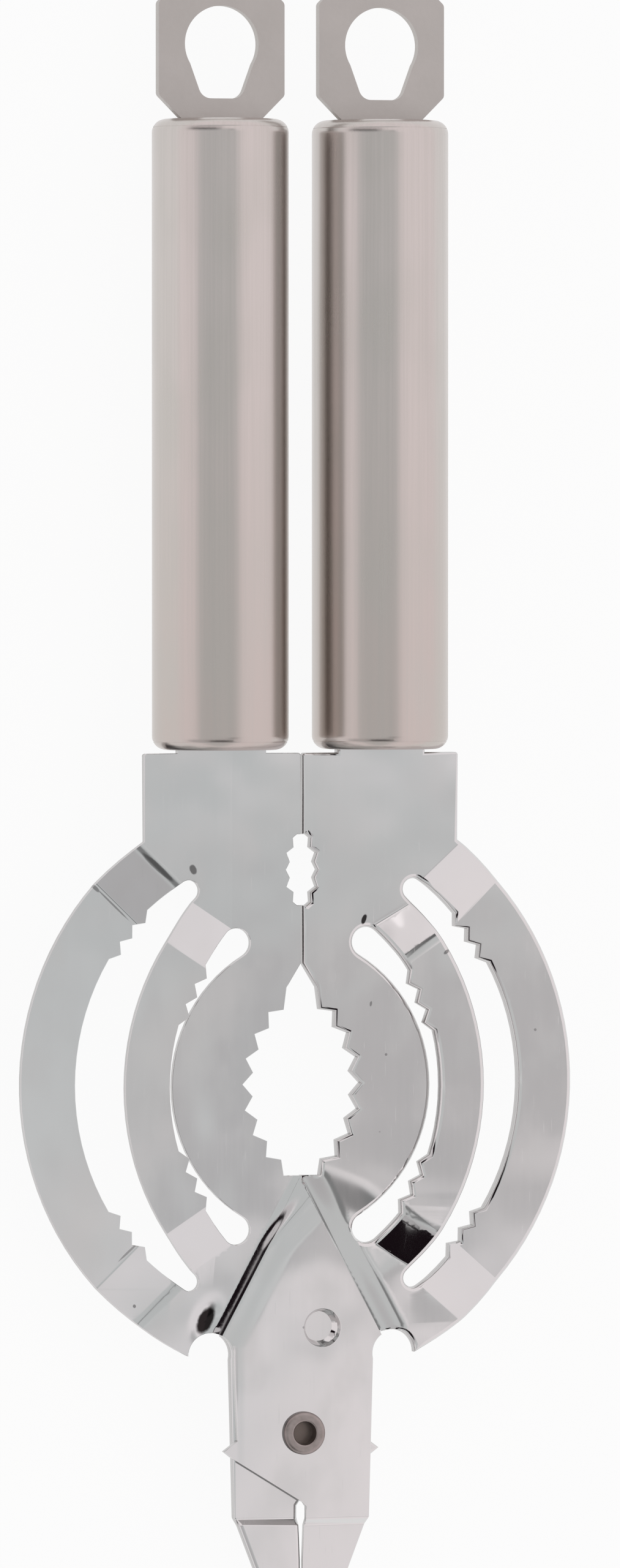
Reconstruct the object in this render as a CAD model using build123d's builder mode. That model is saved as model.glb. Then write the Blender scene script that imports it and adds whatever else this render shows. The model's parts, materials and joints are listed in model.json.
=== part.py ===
from build123d import *
import math
import os

# Two-handled jar and bottle opener.  Two pressed steel halves cross at a rivet; each half
# carries two gripping rings, half of two toothed openings, a tip and a tubular handle.
# Frame: the tool lies on its handles, +Z up along the rivet, +Y from the tips to the
# hanging holes, origin under the middle of the whole tool.  All sizes in millimetres.
# Plan positions are measured from the rivet, and are given for the half on the -X side.

# ---- pressed sheet -------------------------------------------------------------------
sheet = 1.6                 # steel thickness
seam_gap = 0.34             # between the two halves along the centreline
plate_gap = 0.10            # between the two crossed plates at the hub
ring_crest = (1.3, 6.5)     # upper bend of a ring's step: its lead and radius
ring_foot = (0.5, 1.2)      # lower bend

# ---- rings: their centres lie past the centreline --------------------------------------
ring_y = 48.3               # height of the ring centres above the rivet
outer_rise = 0.25           # of the outer ring's centre above the others
outer_centre = 2.0
outer_radius = 41.9
outer_width = 7.8
outer_slot = 6.1            # between the outer and the middle ring, at its middle
middle_centre = 11.2
middle_width = 6.4
middle_slot = 0.9           # between the middle ring and the inner plate, at its middle
inner_centre = 2.5
middle_level = 2.05         # middle ring steps up by this, outer ring down
outer_level = -2.05
outer_slot_angle = 55.4     # of the centres of the slots' round ends
middle_slot_angle = 59.0

# ---- steps of the rings: where each leaves the flat plate ------------------------------
outer_step_angle = 55.1
outer_step_length = 9.2
middle_step_angle = 45.0
middle_step_length = 7.4
step_skew = 11.0            # of a step's bend lines to the ring's radius, degrees

# ---- shoulder block, heights above the ring centres ------------------------------------
block_half_width = 22.7
block_rise = 46.3
corner_radius = 0.4
notch_rise = 30.05          # middle of the small toothed opening
notch_edge = (              # half width and height of its teeth, from its top to its middle
    (0.7, 4.95), (1.3, 4.45), (1.2, 3.1), (2.2, 2.35), (1.75, 1.1), (2.3, 0.0),
)

# ---- teeth ---------------------------------------------------------------------------
ring_tooth_depth = 1.15
ring_tooth_count = 3
outer_tooth_starts = ((31.0, 30.8), (28.9, 31.4))   # front and rear half: upper, lower
outer_tooth_pitch = 4.85
middle_tooth_starts = ((16.5, 16.5), (14.1, 18.4))
middle_tooth_pitch = 5.7
mouth_centre = 7.44         # centre of the arcs that the main opening's teeth lie on
mouth_root_radius = 16.0
mouth_tip_radius = 14.6
mouth_tooth_start = 40.0
mouth_tooth_pitch = 13.0
mouth_tooth_count = 8
mouth_up = 17.3             # to the opening's pointed top, above the ring centres
mouth_down = 12.5           # to its flat bottom, below them
mouth_point_half = 2.2      # half width and height of the pointed top
mouth_point_height = 3.6

# ---- hub, notches and tips -------------------------------------------------------------
hub_half_top = 10.1
hub_half_bottom = 9.5
lap_top = 12.3              # where the lap line meets the centreline, below the ring centres
lap_length = 26.0
lap_slope = 28.2            # lap lines of the crossed plates, degrees from the centreline
lap_step_start = -1.15      # the step beside the lap, counted from the lap line to the hub
lap_step_length = 1.6
lap_crest = (0.4, 1.1)      # lead and radius of its upper and of its lower bend
lap_foot = (0.1, 0.25)
lap_clearance = 0.2         # between the end of the step and the other half's free edge
side_notch_x = 13.2
side_notch_y = 10.9
side_notch_radius = 3.2
spike_reach = 11.5
spike_y = -2.4
spike_rise = 1.5            # of the spike's upper edge, from its point to the hub
spike_nose = 1.0            # of its blunt underside: length and drop
spike_drop = 0.8
tip_slot_top = -9.7
tip_slot_point = 0.6
tip_slot_half = 0.4
tip_slot_taper = 6.0        # over this length the slot narrows to the gap between the tips
tip_bend = -11.8
tip_bend_length = 1.3
tip_crest = (0.2, 0.4)      # lead and radius of its upper and of its lower bend
tip_foot = (0.2, 0.4)
tip_length = 32.0
tip_end_half = 1.5
tip_gap = 0.30              # between the two tips

# ---- rivet and stop --------------------------------------------------------------------
rivet_shank = 2.4           # radius
rivet_clearance = 0.05
rivet_head = 3.0
rivet_head_height = 0.9
rivet_head_round = 0.54
rivet_bore = 1.6
rivet_bore_depth = 2.2
rivet_mouth_round = 0.27
rivet_back = 4.0
rivet_back_height = 1.0
rivet_back_round = 0.8
stop_radius = 2.65
stop_depth = 1.2
stop_taper = 25.0
stop_x = 2.75
stop_y = 14.6
stop_clearance = 0.2
opening_angle = 30.0

# ---- handles ---------------------------------------------------------------------------
handle_radius = 9.5
handle_spacing = 4.1        # between the two handles
handle_gap = 0.5            # between the shoulder block and the handles
handle_length = 87.4
handle_wall = 0.8
handle_end_round = 1.9
cap_rim = 1.1
cap_spigot = 2.0
seam_chamfer = 0.1
fit_gap = 0.05              # slide fit of the pieces inside a handle
plug_length = 22.0
tang_width = 12.8
tang_length = 18.0          # inside the handle
tang_end_gap = 0.5
pin_radius = 1.5
pin_distance = 11.0         # from the end of the handle
pin_recess = 1.3            # between the pin's ends and the tube
pin_chamfer = 0.3

# ---- hanging tabs ----------------------------------------------------------------------
tab_sheet = 1.6
tab_width = 18.1
tab_height = 19.4           # above the handle
tab_chamfer = 3.3
tab_corner = 0.8
tab_tang_width = 11.4
tab_tang_length = 15.0
tab_hole_radius = 5.3
tab_hole_y = 10.4           # centre of the hole's round part above the handle
tab_hole_flat_y = 2.85
tab_hole_flat = 2.8         # half width of the flat bottom of the hole
tab_hole_corner = 1.8

# ---- worked out ------------------------------------------------------------------------
outer_inner = outer_radius - outer_width
middle_reach = outer_inner - outer_centre - outer_slot
middle_radius = middle_reach + middle_centre
middle_inner = middle_radius - middle_width
inner_radius = middle_reach - middle_width - middle_slot + inner_centre
block_top = ring_y + block_rise
handle_x = handle_radius + handle_spacing / 2
handle_bottom = block_top + handle_gap
handle_top = handle_bottom + handle_length
bore_radius = handle_radius - handle_wall
tool_top = handle_top + tab_height
hub_level = (sheet + plate_gap) / 2
lap_free = lap_step_start + lap_step_length + lap_clearance
pivot_y = (tip_length - tool_top) / 2
outer_at = (outer_centre, ring_y + outer_rise)
middle_at = (middle_centre, ring_y)
inner_at = (inner_centre, ring_y)
mouth_at = (mouth_centre, ring_y)
axis_z = handle_radius
jaw_plane = Plane(origin=(0, pivot_y, axis_z))
join = 0.3                  # how far added shapes reach into what they join
far = 200.0                 # beyond the tool, for cutting shapes


def on_arc(centre, radius, angle):
    """Point on a ring's arc, the angle counted up from the -X direction."""
    turn = math.radians(angle)
    return (centre[0] - radius * math.cos(turn), centre[1] + radius * math.sin(turn))


def lap_point(distance, offset):
    """Point at a distance down the -X lap line, offset towards the hub."""
    turn = math.radians(lap_slope)
    x = -distance * math.sin(turn) + offset * math.cos(turn)
    y = ring_y - lap_top - distance * math.cos(turn) - offset * math.sin(turn)
    return (x, y)


def slot_end(outer, inner, angle):
    """Centre and radius of the circle that touches both of a slot's arcs, at an angle."""
    near, beyond = 0.0, far
    for halving in range(60):
        out = (near + beyond) / 2
        centre = on_arc(inner_at, out, angle)
        radius = math.dist(centre, inner[0]) - inner[1]
        if radius < outer[1] - math.dist(centre, outer[0]):
            near = out
        else:
            beyond = out
    return centre, radius


def past_end(centre, angle):
    """Plan past a slot's end on its inner side, where a ring's slope must not reach."""
    turn = math.radians(angle)
    along = [math.copysign(1, angle) * value for value in (math.sin(turn), math.cos(turn))]
    inwards = (math.cos(turn), -math.sin(turn))
    corners = [
        tuple(c + 6.0 * (a * part_way + i * part_in) for c, a, i in zip(centre, along, inwards))
        for part_way, part_in in ((0, 0), (1, 0), (1, 1), (0, 1))
    ]
    with BuildSketch() as corner:
        with BuildLine():
            Polyline(*corners, close=True)
        make_face()
    return corner.sketch


def slot_between(outer, inner, end_angle):
    """Crescent slot between two arcs, each a centre and a radius, with round ends."""
    ends = [slot_end(outer, inner, angle) for angle in (end_angle, -end_angle)]
    beyond = []
    for centre, radius in ends:
        stretch = 3.0 * outer[1] / math.dist(centre, outer[0])
        beyond.append(tuple(o + (c - o) * stretch for c, o in zip(centre, outer[0])))
    with BuildSketch() as slot:
        with Locations(outer[0]):
            Circle(outer[1])
        with Locations(inner[0]):
            Circle(inner[1], mode=Mode.SUBTRACT)
        with BuildLine():
            Polyline(inner[0], ends[0][0], beyond[0], beyond[1], ends[1][0], close=True)
        make_face(mode=Mode.INTERSECT)
        for centre, radius in ends:
            with Locations(centre):
                Circle(radius)
    return slot.sketch


def ring_teeth(centre, radius, starts, pitch):
    """Sharp teeth on the inside of a ring, near its upper and its lower end."""
    with BuildSketch() as teeth:
        for side, start in zip((1, -1), starts):
            for index in range(ring_tooth_count):
                angle = side * (start + pitch * index)
                last = side * (start + pitch * (index + 1))
                with BuildLine():
                    Polyline(
                        on_arc(centre, radius + join, angle),
                        on_arc(centre, radius, angle),
                        on_arc(centre, radius - ring_tooth_depth, (angle + last) / 2),
                        on_arc(centre, radius, last),
                        on_arc(centre, radius + join, last),
                        close=True,
                    )
                make_face()
    return teeth.sketch


def mouth_half():
    """Half of the main toothed opening."""
    top = ring_y + mouth_up
    base = ring_y - mouth_down
    points = [(0, top), (-mouth_point_half, top - mouth_point_height)]
    for index in range(mouth_tooth_count):
        angle = mouth_tooth_start - mouth_tooth_pitch * index
        points.append(on_arc(mouth_at, mouth_tip_radius, angle + mouth_tooth_pitch / 2))
        points.append(on_arc(mouth_at, mouth_root_radius, angle))
    points += [(points[-1][0], base), (0, base)]
    with BuildSketch() as mouth:
        with BuildLine():
            Polyline(*points, close=True)
        make_face()
    return mouth.sketch


def notch_half():
    """Half of the small toothed opening in the shoulder block."""
    middle = ring_y + notch_rise
    upper = [(-half, middle + height) for half, height in notch_edge]
    lower = [(-half, middle - height) for half, height in reversed(notch_edge[:-1])]
    top, base = upper[0][1], lower[-1][1]
    with BuildSketch() as notch:
        with BuildLine():
            Polyline((0, top), *upper, *lower, (0, base), close=True)
        make_face()
    return notch.sketch


def hub_outline():
    """Plan of one half's hub and of its tip, which crosses to the +X side."""
    turn = math.radians(lap_slope)
    fall = (lap_free - seam_gap / 2 * math.cos(turn)) / math.sin(turn)
    edge_x, edge_y = lap_point(lap_length, lap_free)
    with BuildSketch() as hub:
        with BuildLine():
            Polyline(
                (-seam_gap / 2, ring_y - mouth_down),
                (-seam_gap / 2, ring_y - lap_top - fall),
                (-edge_x, edge_y),
                (hub_half_top, side_notch_y),
                (hub_half_bottom, tip_bend),
                (tip_end_half + tip_gap / 2, -tip_length),
                (tip_gap / 2, -tip_length),
                (tip_gap / 2, tip_bend - tip_slot_taper),
                (tip_slot_half, tip_bend),
                (tip_slot_half, tip_slot_top - tip_slot_point),
                (0, tip_slot_top),
                (-spike_reach + spike_nose, spike_y - spike_drop),
                (-spike_reach, spike_y),
                (-hub_half_bottom, spike_y + spike_rise),
                (-hub_half_top, side_notch_y),
                (edge_x, edge_y),
                close=True,
            )
        make_face()
    return hub.sketch


def half_plan(half):
    """Whole plan of the front half (0) or the rear half (1), its rings on the -X side."""
    hub = hub_outline()
    cuts = [
        slot_between((outer_at, outer_inner), (middle_at, middle_radius), outer_slot_angle),
        slot_between((middle_at, middle_inner), (inner_at, inner_radius), middle_slot_angle),
    ]
    teeth = [
        ring_teeth(outer_at, outer_inner, outer_tooth_starts[half], outer_tooth_pitch),
        ring_teeth(middle_at, middle_inner, middle_tooth_starts[half], middle_tooth_pitch),
    ]
    openings = [mouth_half(), notch_half()]
    with BuildSketch() as plan:
        with Locations(outer_at):
            Circle(outer_radius)
        with Locations((-seam_gap / 2, side_notch_y)):
            Rectangle(far, far, align=(Align.MAX, Align.MIN), mode=Mode.INTERSECT)
        with Locations((-seam_gap / 2, block_top)):
            Rectangle(block_half_width - seam_gap / 2, block_rise, align=(Align.MAX, Align.MAX))
            Rectangle(far, far, align=(Align.MAX, Align.MIN), mode=Mode.SUBTRACT)
        fillet(plan.vertices().group_by(Axis.Y)[-1], radius=corner_radius)
        add(hub)
        with Locations((-side_notch_x, side_notch_y), (side_notch_x, side_notch_y)):
            Circle(side_notch_radius, mode=Mode.SUBTRACT)
        add(cuts, mode=Mode.SUBTRACT)
        add(teeth)
        add(openings, mode=Mode.SUBTRACT)
        with Locations((-handle_x, handle_bottom + tang_length)):
            Rectangle(tang_width, handle_gap + tang_length + join, align=(Align.CENTER, Align.MAX))
        with Locations((-handle_x, handle_bottom + pin_distance)):
            Circle(pin_radius + fit_gap, mode=Mode.SUBTRACT)
        Circle(rivet_shank + rivet_clearance, mode=Mode.SUBTRACT)
    return plan.sketch


def beyond(area, x, y, heading, start, end=far):
    """The part of a plan between two lines that cross a heading, in degrees, from a point."""
    place = Location((x, y, 0), (0, 0, heading))
    shift = Location((start, 0, 0))
    with BuildSketch() as part_of:
        add(area)
        with Locations(place * shift):
            Rectangle(end - start, 2 * far, align=(Align.MIN, Align.CENTER), mode=Mode.INTERSECT)
    return part_of.sketch


def flat_sheet(area, level):
    """A plan area as flat sheet at one level."""
    with BuildPart() as piece:
        with BuildSketch(jaw_plane.offset(level - sheet / 2)):
            add(area)
        extrude(amount=sheet)
    return piece.part


def bent_sheet(area, x, y, heading, run, levels, crest, foot):
    """A plan area as sheet that steps between two levels along a heading from a point."""
    turn = math.radians(heading)
    low, high = levels
    bends = (foot, crest) if low < high else (crest, foot)
    slope = math.atan2(abs(high - low), run - crest[0] - foot[0])
    start, end = bends[0][0], run - bends[1][0]
    side = Plane(
        origin=(x, pivot_y + y, axis_z),
        x_dir=(math.cos(turn), math.sin(turn), 0),
        z_dir=(math.sin(turn), -math.cos(turn), 0),
    )
    with BuildPart() as slab:
        with BuildSketch(side):
            with BuildLine():
                faces = []
                for half in (sheet / 2, -sheet / 2):
                    faces.append(FilletPolyline(
                        (0, low + half), (start, low + half), (end, high + half), (run, high + half),
                        radius=[min(radius, 0.95 * lead / math.tan(slope / 2)) for lead, radius in bends],
                    ))
                Line(faces[0] @ 0, faces[1] @ 0)
                Line(faces[0] @ 1, faces[1] @ 1)
            make_face()
        extrude(amount=far, both=True)
    with BuildPart() as piece:
        with BuildSketch(jaw_plane):
            add(area)
        extrude(amount=far, both=True)
        add(slab.part, mode=Mode.INTERSECT)
    return piece.part


def ring_area(plan, own, inner):
    """The plan of one ring: between its own outer arc and the next ring's."""
    with BuildSketch() as ring:
        add(plan)
        with Locations(own[0]):
            Circle(own[1] + join / 3, mode=Mode.INTERSECT)
        with Locations(inner[0]):
            Circle(inner[1] + join / 3, mode=Mode.SUBTRACT)
    return ring.sketch


def stepped_ring(area, step, level):
    """The raised or lowered stretch of a ring, and its plan."""
    centre, radius, angle, run = step
    ends = [
        (*on_arc(centre, radius, side * angle), side * (step_skew - angle - 90)) for side in (1, -1)
    ]
    stretch = area
    for end in ends:
        stretch = beyond(stretch, *end, 0)
    flat = stretch
    for end in ends:
        flat = beyond(flat, *end, run)
    pieces = [flat_sheet(flat, level)]
    for end in ends:
        slope = beyond(stretch, *end, 0, run)
        pieces.append(bent_sheet(slope, *end, run, (0, level), ring_crest, ring_foot))
    return stretch, pieces


def jaw_half(half, level):
    """The front half (0) or the rear half (1), rings on the -X side, its hub at a level."""
    plan = half_plan(half)
    lap = (*lap_point(0, lap_step_start), -lap_slope)
    tip = (0, tip_bend, -90)
    outer_area = ring_area(plan, (outer_at, outer_radius), (middle_at, middle_radius))
    middle_area = ring_area(plan, (middle_at, middle_radius), (inner_at, inner_radius))
    for angle in (middle_slot_angle, -middle_slot_angle):
        end = slot_end((middle_at, middle_inner), (inner_at, inner_radius), angle)[0]
        middle_area -= past_end(end, angle)
    outer_step = (outer_at, outer_radius - outer_width / 2, outer_step_angle, outer_step_length)
    middle_step = (middle_at, middle_radius - middle_width / 2, middle_step_angle, middle_step_length)
    outer_stretch, outer_pieces = stepped_ring(outer_area, outer_step, outer_level)
    middle_stretch, middle_pieces = stepped_ring(middle_area, middle_step, middle_level)
    jaw = beyond(plan, *lap, -far, 0) - outer_stretch - middle_stretch
    lap_area = beyond(plan, *lap, 0, lap_step_length)
    hub = beyond(beyond(plan, *lap, lap_step_length), *tip, -far, 0)
    tip_area = beyond(plan, *tip, 0, tip_bend_length)
    pieces = [flat_sheet(jaw, 0), *outer_pieces, *middle_pieces, flat_sheet(hub, level)]
    pieces.append(bent_sheet(lap_area, *lap, lap_step_length, (0, level), lap_crest, lap_foot))
    pieces.append(bent_sheet(tip_area, *tip, tip_bend_length, (level, 0), tip_crest, tip_foot))
    pieces.append(flat_sheet(beyond(plan, *tip, tip_bend_length), 0))
    with BuildPart() as jaws:
        for piece in pieces:
            add(piece)
    return jaws.part


def front_half():
    """The half on the -X side: its hub lies in front and carries the stop's button."""
    with BuildPart() as half:
        add(jaw_half(0, hub_level))
        front = jaw_plane.offset(hub_level + sheet / 2)
        with BuildSketch(front):
            with Locations((stop_x, stop_y)):
                Circle(stop_radius)
        extrude(amount=-stop_depth, taper=stop_taper, mode=Mode.SUBTRACT)
        with BuildSketch(front.offset(-sheet)):
            with Locations((stop_x, stop_y)):
                Circle(stop_radius)
        extrude(amount=-stop_depth, taper=stop_taper)
    return half.part


def rear_half():
    """The half on the +X side: its hub lies behind and has the slot for the stop's button."""
    button = math.degrees(math.atan2(stop_y, stop_x))
    with BuildPart() as half:
        add(mirror(jaw_half(1, -hub_level), about=Plane.YZ))
        with BuildSketch(jaw_plane.offset(-hub_level - sheet)):
            with BuildLine(mode=Mode.PRIVATE):
                travel = CenterArc((0, 0), math.hypot(stop_x, stop_y), button, opening_angle)
            SlotArc(travel, 2 * (stop_radius + stop_clearance))
        extrude(amount=2 * sheet, mode=Mode.SUBTRACT)
    return half.part


def rivet():
    """Semi-tubular rivet: domed head behind, rolled hollow end in front."""
    front = hub_level + sheet / 2
    back = -front - fit_gap
    with BuildPart() as body:
        with BuildSketch(jaw_plane.offset(back)):
            Circle(rivet_shank)
        extrude(amount=front - back)
        with BuildSketch(jaw_plane.offset(front)):
            Circle(rivet_head)
        extrude(amount=rivet_head_height)
        fillet(body.edges().group_by(Axis.Z)[-1], radius=rivet_head_round)
        with BuildSketch(jaw_plane.offset(back)):
            Circle(rivet_back)
        extrude(amount=-rivet_back_height)
        fillet(body.edges().group_by(Axis.Z)[0], radius=rivet_back_round)
        with BuildSketch(jaw_plane.offset(front + rivet_head_height)):
            Circle(rivet_bore)
        extrude(amount=-rivet_bore_depth, mode=Mode.SUBTRACT)
        fillet(body.edges().group_by(Axis.Z)[-1], radius=rivet_mouth_round)
    return body.part


def handle_plane(side, height, inward):
    """Plane across a handle's axis, its Z into the handle along +Y or -Y."""
    return Plane(origin=(side * handle_x, pivot_y + height, axis_z), x_dir=(1, 0, 0), z_dir=(0, inward, 0))


def handle_body(side):
    """Outer form of a handle: a round bar with rounded ends."""
    with BuildPart() as body:
        with BuildSketch(handle_plane(side, handle_bottom, 1)):
            Circle(handle_radius)
        extrude(amount=handle_length)
        fillet(body.edges().filter_by(GeomType.CIRCLE), radius=handle_end_round)
    return body.part


def handle_tube(side):
    """Drawn steel tube, its ends turned in to meet the end caps."""
    rise = math.sqrt(handle_end_round**2 - (handle_end_round - cap_rim) ** 2)
    seam = handle_radius - handle_end_round + rise
    with BuildPart() as tube:
        add(handle_body(side))
        for height, inward in ((handle_bottom, 1), (handle_top, -1)):
            with BuildSketch(handle_plane(side, height, inward)):
                Circle(2 * handle_radius)
            extrude(amount=cap_rim, mode=Mode.SUBTRACT)
            with BuildSketch(handle_plane(side, height, inward).offset(cap_rim)):
                Circle(2 * handle_radius)
                Circle(seam - seam_chamfer, mode=Mode.SUBTRACT)
            extrude(amount=seam_chamfer, mode=Mode.SUBTRACT)
        with BuildSketch(handle_plane(side, handle_bottom, 1)):
            Circle(bore_radius)
        extrude(amount=handle_length, mode=Mode.SUBTRACT)
    return tube.part


def end_cap(side, height, inward, width, thick):
    """Steel cap that closes one end of a handle, slotted for the flat tang."""
    base = handle_plane(side, height, inward)
    with BuildPart() as cap:
        with BuildSketch(base):
            Circle(2 * handle_radius)
        extrude(amount=cap_rim)
        add(handle_body(side), mode=Mode.INTERSECT)
        with BuildSketch(base.offset(cap_rim)):
            Circle(bore_radius - fit_gap)
        extrude(amount=cap_spigot)
        with BuildSketch(base):
            Rectangle(width + 2 * fit_gap, thick + 2 * fit_gap)
        extrude(amount=cap_rim + cap_spigot, mode=Mode.SUBTRACT)
    return cap.part


def tang_plug(side, height, inward, tang):
    """Moulded plug that fills the tube round a tang and holds it by a cross pin."""
    width, thick, length = tang
    base = handle_plane(side, height, inward).offset(cap_rim + cap_spigot)
    with BuildPart() as plug:
        with BuildSketch(base):
            Circle(bore_radius - fit_gap)
        extrude(amount=plug_length)
        with BuildSketch(base):
            Rectangle(width + 2 * fit_gap, thick + 2 * fit_gap)
        extrude(amount=length - cap_rim - cap_spigot + tang_end_gap, mode=Mode.SUBTRACT)
        with BuildSketch(pin_plane(side, height, inward).offset(-handle_radius)):
            Circle(pin_radius + fit_gap)
        extrude(amount=2 * handle_radius, mode=Mode.SUBTRACT)
    return plug.part


def pin_plane(side, height, inward):
    """Plane across a cross pin, at the middle of the handle."""
    return Plane(origin=(side * handle_x, pivot_y + height + inward * pin_distance, axis_z))


def cross_pin(side, height, inward):
    """Steel pin through a plug and its tang."""
    half = bore_radius - pin_recess
    with BuildPart() as pin:
        with BuildSketch(pin_plane(side, height, inward).offset(-half)):
            Circle(pin_radius)
        extrude(amount=2 * half)
        chamfer(pin.edges().filter_by(GeomType.CIRCLE), length=pin_chamfer)
    return pin.part


def hanging_tab(side):
    """Flat steel eye at the end of a handle, with its tang and a teardrop hole."""
    base = Plane(origin=(side * handle_x, pivot_y + handle_top, axis_z - tab_sheet / 2))
    slant = math.degrees(math.atan2(tab_hole_radius - tab_hole_flat, tab_hole_y - tab_hole_flat_y))
    touch = math.radians(slant / 2)
    touch_x = tab_hole_radius * math.cos(touch)
    touch_y = tab_hole_y - tab_hole_radius * math.sin(touch)
    with BuildPart() as tab:
        with BuildSketch(base) as outline:
            Rectangle(tab_width, tab_height, align=(Align.CENTER, Align.MIN))
            chamfer(outline.vertices(), length=tab_chamfer)
            fillet(outline.vertices(), radius=tab_corner)
            Rectangle(tab_tang_width, tab_corner, align=(Align.CENTER, Align.MIN))
            with Locations((0, tab_corner)):
                Rectangle(tab_tang_width, tab_tang_length + tab_corner, align=(Align.CENTER, Align.MAX))
            with Locations((0, tab_hole_y)):
                Circle(tab_hole_radius, mode=Mode.SUBTRACT)
            with Locations((0, -pin_distance)):
                Circle(pin_radius + fit_gap, mode=Mode.SUBTRACT)
        extrude(amount=tab_sheet)
        with BuildSketch(base) as throat:
            with BuildLine():
                Polyline(
                    (-touch_x, touch_y), (-tab_hole_flat, tab_hole_flat_y),
                    (tab_hole_flat, tab_hole_flat_y), (touch_x, touch_y), close=True,
                )
            make_face()
            fillet(throat.vertices().group_by(Axis.Y)[0], radius=tab_hole_corner)
        extrude(amount=tab_sheet, mode=Mode.SUBTRACT)
    return tab.part


parts = {
    "left_jaw_plate": front_half(),
    "right_jaw_plate": rear_half(),
    "pivot_rivet": rivet(),
}
jaw_tang = (tang_width, sheet, tang_length)
tab_tang = (tab_tang_width, tab_sheet, tab_tang_length)
for name, side in (("left", -1), ("right", 1)):
    parts[f"{name}_handle_tube"] = handle_tube(side)
    parts[f"{name}_hanging_tab"] = hanging_tab(side)
    for place, height, inward, tang in (
        ("lower", handle_bottom, 1, jaw_tang),
        ("upper", handle_top, -1, tab_tang),
    ):
        parts[f"{name}_{place}_end_cap"] = end_cap(side, height, inward, tang[0], tang[1])
        parts[f"{name}_{place}_tang_plug"] = tang_plug(side, height, inward, tang)
        parts[f"{name}_{place}_tang_pin"] = cross_pin(side, height, inward)

os.makedirs("parts", exist_ok=True)
for label, part in parts.items():
    part.label = label
    export_step(part, f"parts/{label}.step")
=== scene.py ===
import bmesh
import bpy
import json
import math
from mathutils import Matrix, Vector
from mathutils.kdtree import KDTree


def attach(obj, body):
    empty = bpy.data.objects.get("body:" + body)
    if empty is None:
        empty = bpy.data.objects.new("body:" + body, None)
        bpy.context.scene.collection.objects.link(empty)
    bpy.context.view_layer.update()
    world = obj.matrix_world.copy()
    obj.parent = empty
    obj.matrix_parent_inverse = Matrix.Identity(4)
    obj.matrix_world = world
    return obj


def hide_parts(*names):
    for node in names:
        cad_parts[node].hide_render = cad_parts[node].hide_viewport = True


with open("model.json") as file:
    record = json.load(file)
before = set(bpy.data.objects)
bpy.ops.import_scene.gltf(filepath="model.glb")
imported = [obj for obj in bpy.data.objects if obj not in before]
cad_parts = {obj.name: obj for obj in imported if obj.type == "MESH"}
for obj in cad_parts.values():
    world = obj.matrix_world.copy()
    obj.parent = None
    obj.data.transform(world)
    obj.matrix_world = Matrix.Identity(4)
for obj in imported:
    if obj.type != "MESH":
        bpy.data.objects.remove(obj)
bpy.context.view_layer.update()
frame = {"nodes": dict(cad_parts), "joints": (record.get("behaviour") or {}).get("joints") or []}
nodes = frame["nodes"]
pivot = Vector(frame["joints"][0]["pos_m"])

# ---- Camera --------------------------------------------------------------------------
# A long lens well above the tool as it lies on the table, with the tips at the bottom of
# the picture.  It stands to the side of the front half, 16 degrees off the upright.
camera_distance = 1.6
camera_side = math.radians(16.0)
camera_height = math.radians(1.3)
camera_aim = Vector((0.0014, 0.0053, pivot.z))
view_height = 0.2181           # of the picture, at the tool
back = Vector((
    -math.sin(camera_side) * math.cos(camera_height),
    math.sin(camera_height),
    math.cos(camera_side) * math.cos(camera_height),
))
bpy.ops.object.camera_add(location=camera_aim + back * camera_distance)
camera = bpy.context.object
camera.rotation_mode = "QUATERNION"
right = Vector((0, 1, 0)).cross(back).normalized()
turn = Matrix((right, back.cross(right), back)).transposed()
camera.rotation_quaternion = turn.to_quaternion()
camera.data.lens = camera.data.sensor_width * camera_distance / view_height
camera.data.clip_start = 0.1
camera.data.clip_end = 20.0
bpy.context.scene.camera = camera
bpy.context.scene.view_settings.view_transform = "Standard"


# ---- Studio ----------------------------------------------------------------------------
# A white tent with a grey roof, a dark card past each end of the tool, the arms of a stand
# and one small lamp, all of which the bright plating mirrors.  The camera sees plain white
# behind the tool.
class Link:
    """A value in a shader: sums and products of these add their own Math nodes."""

    def __init__(self, tree, socket=None):
        self.tree = tree
        self.socket = socket

    def node(self, kind, settings=None, inputs=None, output=0):
        """Adds a node, with its settings first and then its sockets' values or links."""
        made = self.tree.nodes.new(kind)
        for name, value in (settings or {}).items():
            setattr(made, name, value)
        for name, value in (inputs or {}).items():
            if isinstance(value, Link):
                self.tree.links.new(value.socket, made.inputs[name])
            else:
                made.inputs[name].default_value = value
        return Link(self.tree, made.outputs[output] if made.outputs else None)

    def math(self, operation, *values):
        return self.node("ShaderNodeMath", {"operation": operation}, dict(enumerate(values)))

    def __add__(self, other):
        return self.math("ADD", self, other)

    def __sub__(self, other):
        return self.math("SUBTRACT", self, other)

    def __rsub__(self, other):
        return self.math("SUBTRACT", other, self)

    def __mul__(self, other):
        return self.math("MULTIPLY", self, other)

    def __truediv__(self, other):
        return self.math("DIVIDE", self, other)

    def __pow__(self, other):
        return self.math("POWER", self, other)

    __radd__ = __add__
    __rmul__ = __mul__

    def step(self, low, high):
        """0 at low and 1 at high, smooth between them, whichever is the larger."""
        return self.node(
            "ShaderNodeMapRange",
            {"interpolation_type": "SMOOTHSTEP"},
            {"Value": self, "From Min": low, "From Max": high},
        )

    def mix(self, first, second):
        """first where this is 0, second where it is 1: two colours."""
        return self.node(
            "ShaderNodeMix",
            {"data_type": "RGBA"},
            {"Factor": self, "A": first, "B": second},
            output=2,
        )


def parts_of(vector):
    """The X, Y and Z of a vector."""
    split = vector.node("ShaderNodeSeparateXYZ", None, {"Vector": vector})
    outputs = split.socket.node.outputs
    return [Link(vector.tree, outputs[axis]) for axis in "XYZ"]


def spread(value, start, full, fading, gone):
    """1 from full to fading, falling smoothly to 0 at start and at gone."""
    return value.step(start, full) * (1.0 - value.step(fading, gone))


def either(masks):
    """The largest of some masks."""
    total, *others = masks
    for mask in others:
        total = total.math("MAXIMUM", total, mask)
    return total


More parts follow.
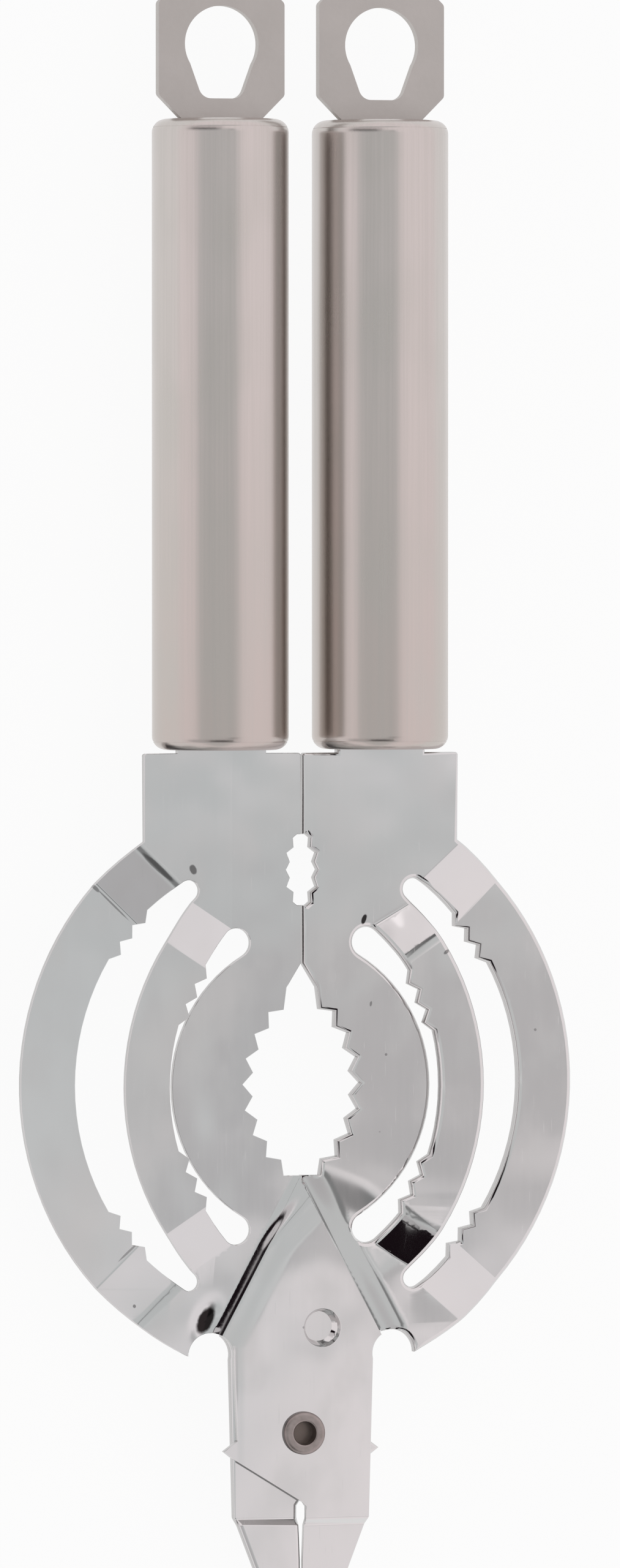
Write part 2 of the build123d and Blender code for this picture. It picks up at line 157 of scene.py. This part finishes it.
tent_white = (1.0, 0.945, 0.955, 1.0)
roof_grey = (0.69, 0.70, 0.70, 1.0)
panel_light = (0.77, 0.775, 0.775, 1.0)
cloth_grey = (0.60, 0.585, 0.59, 1.0)
card_black = (0.01, 0.006, 0.008, 1.0)
world = bpy.data.worlds.new("studio")
world.use_nodes = True
world.node_tree.nodes.clear()
sky = Link(world.node_tree)
# A place in the tent is a direction from the tool: in degrees across it from the upright, and
# as parts of 1 along it, towards the handles or towards the tips.
x, handleward, z = parts_of(sky.node("ShaderNodeTexCoord", output="Generated"))
across = x.math("ARCTAN2", x, z) * math.degrees(1.0)
tipward = -1.0 * handleward
# The tent is white again past both ends of the cards.
ends = 1.0 - handleward.math("ABSOLUTE", handleward).step(0.66, 0.74)

# The roof's far edge runs further out over the jaws, and a light panel crosses it there.  A
# grey cloth hangs past the tips.
jaws_reach = 5.0               # degrees past the rest of the edge
tips_reach = -0.6
roof_edge = across - jaws_reach * tipward.step(0.01, 0.03)
roof_edge = roof_edge + (jaws_reach - tips_reach) * tipward.step(0.055, 0.07)
roof = across.step(-57.0, -51.0) * (1.0 - roof_edge.step(12.0, 18.0))
roof = roof * (1.0 - handleward.step(0.27, 0.34))
panel = spread(tipward, 0.032, 0.04, 0.06, 0.067)
panel_shade = across.step(14.7, 15.6).mix(panel_light, cloth_grey)
valance = ends * tipward.step(0.3, 0.4) * spread(across, -80.0, -70.0, 5.0, 12.0)

# The card past the tips has a narrow window in it.  The one past the handles hangs over the
# front half's side, paler at its far end and with a thin fringe along its inner edge.
window_light = 0.85
window = spread(tipward, 0.51, 0.52, 0.54, 0.55) * spread(across, -6.0, -5.0, -2.0, -1.0)
tip_card = ends * tipward.step(0.44, 0.48) * spread(across, -40.0, -30.0, 5.0, 15.0)
tip_card = tip_card * (1.0 - window_light * window)
far_light = 0.7
handle_card = ends * handleward.step(0.2, 0.28) * spread(across, -75.0, -65.0, -22.0, -14.0)
handle_card = handle_card * (1.0 - far_light * handleward.step(0.425, 0.46))
fringe_dark = 0.3
fringe = ends * handleward.step(0.28, 0.34) * spread(across, -40.0, -30.0, -13.0, -9.0)
# The stand's arms cross the roof, a broad one past the tips and a thin one past the handles.
arm_dark = 0.62
arm = spread(tipward, 0.11, 0.17, 0.26, 0.32) * spread(across, -2.0, 2.0, 14.0, 19.0)
thin_arm_dark = 0.8
thin_arm = spread(handleward, 0.13, 0.17, 0.3, 0.36) * spread(across, 1.5, 3.0, 6.0, 7.5)
dark = either((
    tip_card, handle_card, fringe_dark * fringe, arm_dark * arm, thin_arm_dark * thin_arm,
))
colour = roof.mix(tent_white, panel.mix(roof_grey, panel_shade))
colour = dark.mix(valance.mix(colour, cloth_grey), card_black)

# The lamp is a soft round spot, brighter than the tent.
lamp_extra = 0.35
lamp_x, lamp_y = x + 0.1, handleward - 0.56
lamp = (lamp_x * lamp_x + lamp_y * lamp_y).step(0.0012, 0.0004)
strength = 1.0 + lamp_extra * lamp
light = sky.node("ShaderNodeBackground", None, {"Color": colour, "Strength": strength})
plain = sky.node("ShaderNodeBackground", None, {"Color": (1, 1, 1, 1), "Strength": 1.0})
seen = sky.node("ShaderNodeLightPath", output="Is Camera Ray")
shown = sky.node("ShaderNodeMixShader", None, {0: seen, 1: light, 2: plain})
sky.node("ShaderNodeOutputWorld", None, {"Surface": shown})
bpy.context.scene.world = world

# ---- Floor -----------------------------------------------------------------------------
# A plain white table under the tool, which keeps the tool's shadow.  The camera sees it as
# bare white, and the metal's underside and side walls mirror it so.
table_glow = 0.93              # how much of the bare white shows through the shadowed chalk
bpy.ops.mesh.primitive_plane_add(size=6.0, location=(0, 0, 0))
floor = bpy.context.object
floor.name = "floor"
paint = bpy.data.materials.new("floor_white")
paint.use_nodes = True
paint.node_tree.nodes.clear()
start = Link(paint.node_tree)
chalk = start.node("ShaderNodeBsdfDiffuse", None, {"Color": (0.8, 0.8, 0.8, 1)})
glow = start.node("ShaderNodeEmission", None, {"Color": (1, 1, 1, 1), "Strength": 1.0})
rays = ("Is Camera Ray", "Is Glossy Ray", "Is Transmission Ray")
seen = either([start.node("ShaderNodeLightPath", output=ray) for ray in rays])
lit = start.node("ShaderNodeMixShader", None, {0: table_glow * seen, 1: chalk, 2: glow})
start.node("ShaderNodeOutputMaterial", None, {"Surface": lit})
floor.data.materials.append(paint)


# ---- Jaw plates --------------------------------------------------------------------------
# Each half is blanked and coined from 1.6 mm steel sheet and bright plated.  The punch
# leaves one edge of the sheet rounded: the upper one on the rear half, which lies over the
# other way up, and the lower one on the front half.
def edit(piece):
    """Opens one piece in edit mode, faces to be picked, with nothing selected."""
    if bpy.context.object and bpy.context.object.mode == "EDIT":
        bpy.ops.object.mode_set(mode="OBJECT")
    bpy.ops.object.select_all(action="DESELECT")
    piece.select_set(True)
    bpy.context.view_layer.objects.active = piece
    bpy.ops.object.mode_set(mode="EDIT")
    bpy.ops.mesh.select_mode(type="FACE")
    bpy.ops.mesh.select_all(action="DESELECT")


weld_gap = 2e-6                # metres
flat_angle = math.radians(1.0)


def copy_of(name, piece_name):
    """A welded copy of a carried-over solid, its flat faces joined up again."""
    piece = bpy.data.objects.new(piece_name, nodes[name].data.copy())
    bpy.context.scene.collection.objects.link(piece)
    bpy.ops.object.select_all(action="DESELECT")
    piece.select_set(True)
    bpy.context.view_layer.objects.active = piece
    bpy.ops.mesh.customdata_custom_splitnormals_clear()
    edit(piece)
    bpy.ops.mesh.select_all(action="SELECT")
    bpy.ops.mesh.remove_doubles(threshold=weld_gap)
    bpy.ops.mesh.dissolve_limited(angle_limit=flat_angle)
    bpy.ops.object.mode_set(mode="OBJECT")
    return piece


stop = pivot + Vector((0.00275, 0.0146, 0.0))   # middle of the front half's stop
stop_floor = 0.0022            # radius of the flat floor of the stop's button
rim_flatness = 0.6             # least upward or downward part of the normal of its face
rim_hair = 2e-6                # width of a ring of faces before it is spread, metres
rim_closing = 0.01             # least closing of two neighbours that narrows the rounding
rim_room = 0.6                 # part of the way to their meeting that it then takes up
rim_slack = 0.5                # change of its width per length of the outline
rim_passes = 12                # rounds of passing a narrowing on to the neighbours


def round_rim(piece, up, width, rings):
    """Rounds the rim of one face of a sheet: rings of faces along it, lowered to an arc.
    The rounding narrows where the outline's own steps are too short for it."""
    edit(piece)
    mesh = bmesh.from_edit_mesh(piece.data)
    for face in mesh.faces:
        from_stop = (face.calc_center_median() - stop).xy.length
        if face.normal.z * up > rim_flatness and from_stop > stop_floor:
            face.select_set(True)
    rim = [edge for edge in mesh.edges if sum(face.select for face in edge.link_faces) == 1]
    corners = {vert: None for edge in rim for vert in edge.verts}
    places = [vert.co.copy() for vert in corners]
    numbers = {vert: number for number, vert in enumerate(corners)}
    steps = [tuple(numbers[vert] for vert in edge.verts) for edge in rim]
    finder = KDTree(len(places))
    for number, place in enumerate(places):
        finder.insert(place, number)
    finder.balance()
    bmesh.update_edit_mesh(piece.data)
    for ring in range(rings):
        bpy.ops.mesh.inset(thickness=rim_hair, use_even_offset=False)
    mesh = bmesh.from_edit_mesh(piece.data)
    chains = [[] for place in places]
    for vert in mesh.verts:
        place, number, distance = finder.find(vert.co)
        if distance < 2 * rings * rim_hair:
            chains[number].append(vert)
    inward = []
    for place, chain in zip(places, chains):
        chain.sort(key=lambda vert: (vert.co - place).length)
        inward.append((chain[-1].co - place).normalized())
    widths = [width] * len(chains)
    for first, second in steps:
        run = places[first] - places[second]
        closing = (inward[second] - inward[first]).dot(run.normalized())
        if closing > rim_closing:
            for number in (first, second):
                widths[number] = min(widths[number], rim_room * run.length / closing)
    for passing in range(rim_passes):
        for first, second in steps:
            slack = rim_slack * (places[first] - places[second]).length
            widths[first] = min(widths[first], widths[second] + slack)
            widths[second] = min(widths[second], widths[first] + slack)
    for number, chain in enumerate(chains):
        for ring, vert in enumerate(chain):
            angle = math.pi / 2 * ring / rings
            vert.co = places[number] + inward[number] * widths[number] * (1 - math.cos(angle))
            vert.co.z -= up * widths[number] * (1 - math.sin(angle))
    for edge in mesh.edges:
        if sum(face.select for face in edge.link_faces) == 1:
            edge.smooth = False
    bmesh.update_edit_mesh(piece.data)
    bpy.ops.object.mode_set(mode="OBJECT")


def smooth(piece, angle):
    """Smooth shading inside the angle, led by the larger faces where nothing was pressed."""
    bpy.ops.object.shade_smooth_by_angle(angle=math.radians(angle))
    even = piece.modifiers.new("even", "WEIGHTED_NORMAL")
    even.keep_sharp = True
    if "pressed" in piece.vertex_groups:
        even.vertex_group = "pressed"
        even.invert_vertex_group = True
    bpy.ops.object.modifier_apply(modifier="even")


def bump(value, low, high):
    """Falls smoothly from 1 at low to 0 at high."""
    t = min(1.0, max(0.0, (value - low) / (high - low)))
    return 1.0 - t * t * (3.0 - 2.0 * t)


steepest_cut, steepest_pressed = 0.5, 0.4       # upward part of a face's normal


def grid(piece, low, high, pitch, flattest):
    """Cuts the sheet's upper surface into a grid between two corners, to shape it finely.
    Faces whose normal points upwards by more than flattest are left whole."""
    edit(piece)
    for axis in (0, 1):
        count = round((high[axis] - low[axis]) / pitch)
        for index in range(count + 1):
            place = [low[0], low[1], 0.0]
            place[axis] = low[axis] + (high[axis] - low[axis]) * index / count
            normal = [0.0, 0.0, 0.0]
            normal[axis] = 1.0
            bpy.ops.mesh.select_all(action="DESELECT")
            mesh = bmesh.from_edit_mesh(piece.data)
            for face in mesh.faces:
                if not steepest_cut < face.normal.z < flattest:
                    continue
                spans = [[vert.co[i] for vert in face.verts] for i in (0, 1)]
                if all(
                    max(span) > low[i] and min(span) < high[i] for i, span in enumerate(spans)
                ):
                    face.select_set(True)
            bmesh.update_edit_mesh(piece.data)
            bpy.ops.mesh.bisect(plane_co=place, plane_no=normal)
    bpy.ops.object.mode_set(mode="OBJECT")


def press(piece, low, high, height, flattest):
    """Gives the upper surface's points between two corners the height that height(x, y, z)
    says, in millimetres from the pivot."""
    upper = {
        index
        for face in piece.data.polygons
        if steepest_pressed < face.normal.z < flattest
        for index in face.vertices
    }
    pressed = piece.vertex_groups.get("pressed") or piece.vertex_groups.new(name="pressed")
    for index in upper:
        vert = piece.data.vertices[index]
        if low[0] <= vert.co.x <= high[0] and low[1] <= vert.co.y <= high[1]:
            x, y, z = (vert.co - pivot) * 1000.0
            vert.co.z = pivot.z + height(x, y, z) / 1000.0
            pressed.add([index], 1.0, "REPLACE")


# Each half is stepped where it crosses the other, along a line that leans down across it: its
# lap line.  All of these are in millimetres, from the pivot or from the lap line.
lap_turn = math.radians(28.2)
lap_top = 36.0                 # its upper end
lap_ends = (-1.0, 26.0)        # how far down it the halves are stepped
face_top = 0.8                 # of the flat sheet
hub_rise = 0.85                # of the crossing parts above or below the sheet


def along_lap(x, y):
    """Distance down the front half's lap line from its top, and from it towards the hub."""
    down = (-x * math.sin(lap_turn)) - (y - lap_top) * math.cos(lap_turn)
    return down, x * math.cos(lap_turn) - (y - lap_top) * math.sin(lap_turn)


front_foot = -1.15             # where the front half's step begins
front_sides = (-1.2, 6.0)      # how far to each side the front half is shaped
crest_low, crest_more = 0.45, 3.2               # where it ends: low down, and more at its top
crest_fade = (-2.0, 12.0)      # how far down the crest reaches further out
hollow_depth, hollow_width = 0.09, 3.4          # of the dip behind the crest


def front_lap(x, y, z):
    """The front half's step up to the hub: soft at its top, and hollow along its crest."""
    down, to_hub = along_lap(x, y)
    if not lap_ends[0] <= down <= lap_ends[1] or not front_sides[0] <= to_hub <= front_sides[1]:
        return z
    crest = crest_low + crest_more * bump(down, *crest_fade)
    rise = 1.0 - bump(to_hub, front_foot, crest)
    return face_top + rise * (hub_rise - hollow_depth * bump(to_hub, crest, crest + hollow_width))


dent_middle = (-13.8, 15.9)
dent_half_width, dent_half_length, dent_depth = 1.05, 1.9, 0.18


def side_dent(x, y, z):
    """A shallow oval dent beside the notch, where the press caught the sheet."""
    across, along = x - dent_middle[0], y - dent_middle[1]
    wide = (across * math.cos(lap_turn) - along * math.sin(lap_turn)) / dent_half_width
    long = (across * math.sin(lap_turn) + along * math.cos(lap_turn)) / dent_half_length
    return z - dent_depth * math.exp(-(wide**2) - long**2)


fold_turn = math.radians(21.0)
fold_place = (3.3, 34.2)       # a point on the fold's line
fold_half_width = 3.0
fold_fade = (8.0, 19.0)        # how far down the lap line it runs out
fold_end = (6.0, 9.5)          # how far from the lap line it runs out
fold_depth = 0.28
lap_share = 0.45               # of that depth left on the hub's side of the lap line
share_fade = (-3.5, 0.0)       # where, from the lap line, the rest of the depth is lost
rear_step = (-3.2, 0.45)       # where the rear half's wide step begins and ends


def rear_lap(x, y, z):
    """The rear half falls away in a soft fold from the main opening to the slot's end, and
    steps down under the front half."""
    down, to_hub = along_lap(-x, y)
    aside, above = x - fold_place[0], y - fold_place[1]
    past = -aside * math.sin(fold_turn) - above * math.cos(fold_turn)
    fall = 1.0 - bump(past, -fold_half_width, fold_half_width)
    fall = fall * bump(down, *fold_fade) * bump(-to_hub, *fold_end)
    fall *= fold_depth * (lap_share + (1.0 - lap_share) * bump(to_hub, *share_fade))
    z -= fall
    if lap_ends[0] < down < lap_ends[1] and rear_step[0] < to_hub < rear_step[1]:
        step = hub_rise * (1.0 - bump(to_hub, *rear_step))
        z = min(z, face_top - fall - step)
    return z


crown_rise, crown_radius = 0.12, 4.5


def crowned(middle):
    """A slope of the middle ring, slightly crowned by its press tool."""
    return lambda x, y, z: z + crown_rise * bump(math.dist((x, y), middle), 0.0, crown_radius)


stop_lean = (-0.00042, 0.0002, 0.0)             # how far the stop's floor is pushed askew
floor_flatness = 0.9           # least upward part of its normal


def lean_stop(piece):
    """The stop's button was pushed in a little askew, so that its left side is the steeper."""
    edit(piece)
    mesh = bmesh.from_edit_mesh(piece.data)
    for face in mesh.faces:
        from_stop = (face.calc_center_median() - stop).xy.length
        if face.normal.z > floor_flatness and from_stop < stop_floor:
            face.select_set(True)
    bmesh.update_edit_mesh(piece.data)
    bpy.ops.transform.translate(value=stop_lean)
    bpy.ops.object.mode_set(mode="OBJECT")


def finish(name):
    """A new material with nothing in it, and the place on the piece, in millimetres."""
    made = bpy.data.materials.new(name)
    made.use_nodes = True
    made.node_tree.nodes.clear()
    start = Link(made.node_tree)
    place = start.node("ShaderNodeTexCoord", output="Object")
    scale = {"operation": "SCALE"}
    return made, place.node("ShaderNodeVectorMath", scale, {"Vector": place, "Scale": 1000.0})


def stretched(place, sizes):
    """The place measured in steps of a length along each axis, for a pattern."""
    steps = [1.0 / size for size in sizes]
    return place.node("ShaderNodeVectorMath", {"operation": "MULTIPLY"}, {0: place, 1: steps})


def clouds(place, sizes, detail=2.0):
    """Soft noise from 0 to 1 whose patches have the given sizes."""
    where = stretched(place, sizes)
    return place.node(
        "ShaderNodeTexNoise", None, {"Vector": where, "Scale": 1.0, "Detail": detail}
    )


def flecks(place, spacing, radii, patch, gaps):
    """Round specks, with whole patches of them left out."""
    where = stretched(place, (spacing, spacing, spacing))
    cells = place.node("ShaderNodeTexVoronoi", None, {"Vector": where, "Scale": 1.0})
    return cells.step(*radii) * clouds(place, (patch, patch, patch), 0.0).step(*gaps)


def steel(place, colour, roughness, height, depth):
    """Bare or plated metal with a colour, a roughness and a relief, and its output."""
    relief = height.node(
        "ShaderNodeBump", None, {"Height": height, "Distance": depth / 1000.0, "Strength": 1.0}
    )
    shader = place.node("ShaderNodeBsdfPrincipled", None, {
        "Base Color": colour, "Metallic": 1.0, "Roughness": roughness, "Normal": relief,
    })
    place.node("ShaderNodeOutputMaterial", None, {"Surface": shader})


oval_core, oval_edge = 0.8, 1.5               # squared distance from an oval's middle
oval_ragged = 0.5             # how much a finer noise moves the edge


def dark_oval(place, middle, half_width, half_length, lean):
    """1 inside a soft-edged oval, its length leaning clockwise from the tool's axis."""
    turn = math.radians(lean)
    x, y, z = parts_of(place)
    x, y = x - middle[0], y - middle[1] - pivot.y * 1000.0
    wide = (x * math.cos(turn) - y * math.sin(turn)) / half_width
    long = (x * math.sin(turn) + y * math.cos(turn)) / half_length
    ragged = oval_ragged * clouds(place, (0.8, 0.8, 0.8))
    return (wide * wide + long * long + ragged).step(oval_edge, oval_core)


# The plating keeps a faint waviness and the grain of the rolled sheet, with handling smudges,
# a few pits and short scratches.
plating_cool = (0.655, 0.662, 0.665, 1.0)
plating_warm = (0.70, 0.692, 0.69, 1.0)
smudge_grey = (0.62, 0.615, 0.605, 1.0)
pit_brown = (0.24, 0.22, 0.21, 1.0)
sheared_grey = (0.5, 0.485, 0.48, 1.0)
dark_mark_and_painted_shade_black = (0.012, 0.008, 0.008, 1.0)
plated, place = finish("plated_steel")
tone = clouds(place, (26.0, 34.0, 26.0), 1.0).step(0.3, 0.7)
wave = clouds(place, (11.0, 13.0, 11.0), 1.0)
grain = clouds(place, (0.5, 9.0, 0.5), 2.0)
smudge = clouds(place, (9.0, 14.0, 9.0), 3.0).step(0.42, 0.72)
pits = flecks(place, 9.0, (0.03, 0.012), 7.0, (0.5, 0.56))
scratch = clouds(place, (0.12, 5.0, 3.0), 1.0).step(0.745, 0.77)
# The sheared edges are duller and rougher than the rolled faces.
facing = parts_of(place.node("ShaderNodeTexCoord", output="Normal"))[2]
sheared = 0.85 * facing.math("ABSOLUTE", facing).step(0.6, 0.35)
# Near-black ovals mixed into the plating's colour: a painted reflection of the dark in the dent
# beside the notch, painted shade along the folds of the outer ring's steps, and dark marks at the
# ends of the slots and single pits.
marks = []
for middle, half_width, half_length, lean, strength in (
    ((-13.9, 15.9), 1.1, 2.1, 28.0, 0.98),     # painted reflection: the dark of the dent beside the notch
    ((-15.7, 78.5), 0.5, 0.75, -20.0, 0.7),    # near-black marks at the ends of the slots
    ((9.0, 71.4), 0.35, 0.75, 20.0, 0.95),
    ((20.4, 66.8), 0.25, 0.5, 55.0, 0.6),
    ((-20.8, 78.9), 0.45, 3.0, -48.5, 0.55),   # painted shade along the folds of the outer ring's steps
    ((-29.2, 76.0), 0.28, 0.8, -46.0, 0.55),
    ((-26.7, 73.7), 0.14, 3.2, -46.0, 0.5),
    ((-24.3, 25.6), 0.16, 2.2, 48.0, 0.45),
    ((10.0, 59.6), 0.18, 0.4, 10.0, 0.5),      # single pits
    ((12.2, 52.5), 0.2, 0.2, 0.0, 0.45),
    ((34.6, 55.6), 0.2, 0.2, 0.0, 0.4),
    ((-24.0, 18.0), 0.22, 0.25, 0.0, 0.6),
    ((0.0, 14.7), 0.18, 0.18, 0.0, 0.35),
):
    marks.append(strength * dark_oval(place, middle, half_width, half_length, lean))
colour = tone.mix(plating_cool, plating_warm)
colour = (0.35 * smudge).mix(colour, smudge_grey)
colour = (0.75 * pits).mix(colour, pit_brown)
colour = sheared.mix(colour, sheared_grey)
# The ovals' near-black is partly painted shade and reflection, and partly pits and marks.
colour = either(marks).mix(colour, dark_mark_and_painted_shade_black)
rough = 0.045 + 0.05 * smudge + 0.02 * grain + 0.08 * scratch + 0.25 * sheared
steel(place, colour, rough, wave + 0.004 * grain - 0.03 * pits - 0.002 * scratch, 0.05)

crisp_rim, rounded_rim = (0.00006, 1), (0.0006, 3)      # width in metres, rings of faces
smooth_angle = 35.0            # degrees between two faces shaded as one surface
# What is shaped on each half: two corners, the pitch of the grid, the shape, and the flattest
# faces that take it.
whole, slopes = 1.1, 0.97
shaping = {
    "left": (
        ((-12.5, 12.0), (5.0, 37.0), 0.35, front_lap, whole),
        ((-19.0, 11.5), (-10.5, 20.5), 0.4, side_dent, whole),
    ),
    "right": (
        ((0.3, 14.0), (15.5, 37.5), 0.45, rear_lap, whole),
        ((9.0, 21.5), (19.5, 32.0), 0.5, crowned((14.3, 26.7)), slopes),
        ((9.0, 64.5), (19.5, 75.0), 0.5, crowned((14.3, 69.9)), slopes),
    ),
}
for side, body, upper, lower in (
    ("left", "front_half", crisp_rim, rounded_rim),
    ("right", "rear_half", rounded_rim, crisp_rim),
):
    plate = copy_of(f"{side}_jaw_plate", f"{side}_jaw")
    if side == "left":
        lean_stop(plate)
    round_rim(plate, 1, *upper)
    round_rim(plate, -1, *lower)
    for low, high, pitch, height, flattest in shaping[side]:
        low, high = [[corner[i] / 1000.0 + pivot[i] for i in (0, 1)] for corner in (low, high)]
        grid(plate, low, high, pitch / 1000.0, flattest)
        press(plate, low, high, height, flattest)
    smooth(plate, smooth_angle)
    plate.data.materials.clear()
    plate.data.materials.append(plated)
    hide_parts(f"{side}_jaw_plate")
    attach(plate, body)


# ---- Rivet -----------------------------------------------------------------------------
# The hinge pin is a hollow rivet of drawn steel, closed by a rolling tool that bruised its
# head.  Its bore and the rim of its head carry painted shade, and the two halves turn on it.
def coat(material, *names):
    """Gives carried-over solids their finish."""
    for name in names:
        slot = nodes[name].material_slots[0]
        slot.link = "OBJECT"
        slot.material = material


rivet_dark = (0.26, 0.225, 0.21, 1.0)
rivet_light = (0.42, 0.37, 0.36, 1.0)
bore_painted_shade_brown = (0.11, 0.085, 0.07, 1.0)
rim_painted_shade_brown = (0.12, 0.1, 0.1, 1.0)
bore_radii = (1.75, 1.5)       # millimetres from the axis, over which the painted shade darkens it
rim_radii = (2.75, 3.0)
rivet_with_painted_shade, place = finish("rivet_steel")
mottle = clouds(place, (0.9, 0.9, 0.9), 3.0)
x, y, z = parts_of(place)
y = y - pivot.y * 1000.0
radius = (x * x + y * y) ** 0.5
# Painted shade: the bore and the rim of the head are painted a darker brown.
bore = 0.75 * radius.step(*bore_radii)
rim = 0.5 * radius.step(*rim_radii)
colour = bore.mix(mottle.mix(rivet_dark, rivet_light), bore_painted_shade_brown)
steel(place, rim.mix(colour, rim_painted_shade_brown), 0.28 + 0.15 * mottle, mottle, 0.03)
coat(rivet_with_painted_shade, "pivot_rivet")

# ---- Handle tubes and end caps -----------------------------------------------------------
# Each handle is a thin stainless tube, polished to a satin along its length, with a drawn
# cap pressed into each end.  The finish is warmer and more handled towards the jaws.
satin_warm = (0.56, 0.5, 0.468, 1.0)
satin_pale = (0.61, 0.566, 0.546, 1.0)
haze_grey = (0.545, 0.52, 0.49, 1.0)
brushed_grey = (0.53, 0.505, 0.478, 1.0)
paling = (-5.0, 85.0)          # along the tool, millimetres from its middle
satin, place = finish("satin_steel")
brushing = clouds(place, (0.35, 40.0, 0.35), 3.0)
haze = clouds(place, (7.0, 16.0, 7.0), 2.0)
colour = parts_of(place)[1].step(*paling).mix(satin_warm, satin_pale)
colour = (0.5 * haze.step(0.35, 0.7)).mix(colour, haze_grey)
colour = (0.3 * brushing.step(0.35, 0.7)).mix(colour, brushed_grey)
rough = 0.21 + 0.05 * brushing + 0.05 * haze
steel(place, colour, rough, 0.4 * haze + 0.006 * brushing, 0.05)
for side in ("left", "right"):
    coat(satin, f"{side}_handle_tube", f"{side}_lower_end_cap", f"{side}_upper_end_cap")

# ---- Hanging tabs ------------------------------------------------------------------------
# The tabs are blanked from the same sheet as the jaws and tumbled in a barrel, which leaves
# them matt and slightly mottled.  Their tangs go through the upper caps.
tab_grey = (0.5, 0.477, 0.455, 1.0)
tab_light = (0.56, 0.53, 0.51, 1.0)
speck_brown = (0.13, 0.11, 0.1, 1.0)
tumbled, place = finish("tab_steel")
mottle = clouds(place, (0.7, 0.7, 0.7), 3.0)
specks = flecks(place, 5.0, (0.06, 0.03), 6.0, (0.5, 0.55))
colour = clouds(place, (6.0, 6.0, 6.0), 1.0).mix(tab_grey, tab_light)
colour = (0.7 * specks).mix(colour, speck_brown)
steel(place, colour, 0.4 + 0.12 * mottle, mottle - 0.5 * specks, 0.012)
coat(tumbled, "left_hanging_tab", "right_hanging_tab")

# ---- Tang plugs and pins -----------------------------------------------------------------
# Inside each handle a moulded plug grips the tang of the jaw plate or of the tab, and a
# steel pin pushed through both keeps them together.
plug_cream = (0.66, 0.65, 0.6, 1.0)
plug_pale = (0.72, 0.71, 0.67, 1.0)
moulded, place = finish("plug_plastic")
speckle = clouds(place, (0.6, 0.6, 0.6), 2.0)
shader = place.node("ShaderNodeBsdfPrincipled", None, {
    "Base Color": speckle.mix(plug_cream, plug_pale), "Roughness": 0.45 + 0.1 * speckle,
})
place.node("ShaderNodeOutputMaterial", None, {"Surface": shader})
pin_dark = (0.3, 0.27, 0.25, 1.0)
pin_light = (0.42, 0.38, 0.36, 1.0)
drawn, place = finish("pin_steel")
mottle = clouds(place, (0.4, 0.4, 2.0), 2.0)
steel(place, mottle.mix(pin_dark, pin_light), 0.3 + 0.1 * mottle, mottle, 0.01)
for side in ("left", "right"):
    for end in ("lower", "upper"):
        coat(moulded, f"{side}_{end}_tang_plug")
        coat(drawn, f"{side}_{end}_tang_pin")
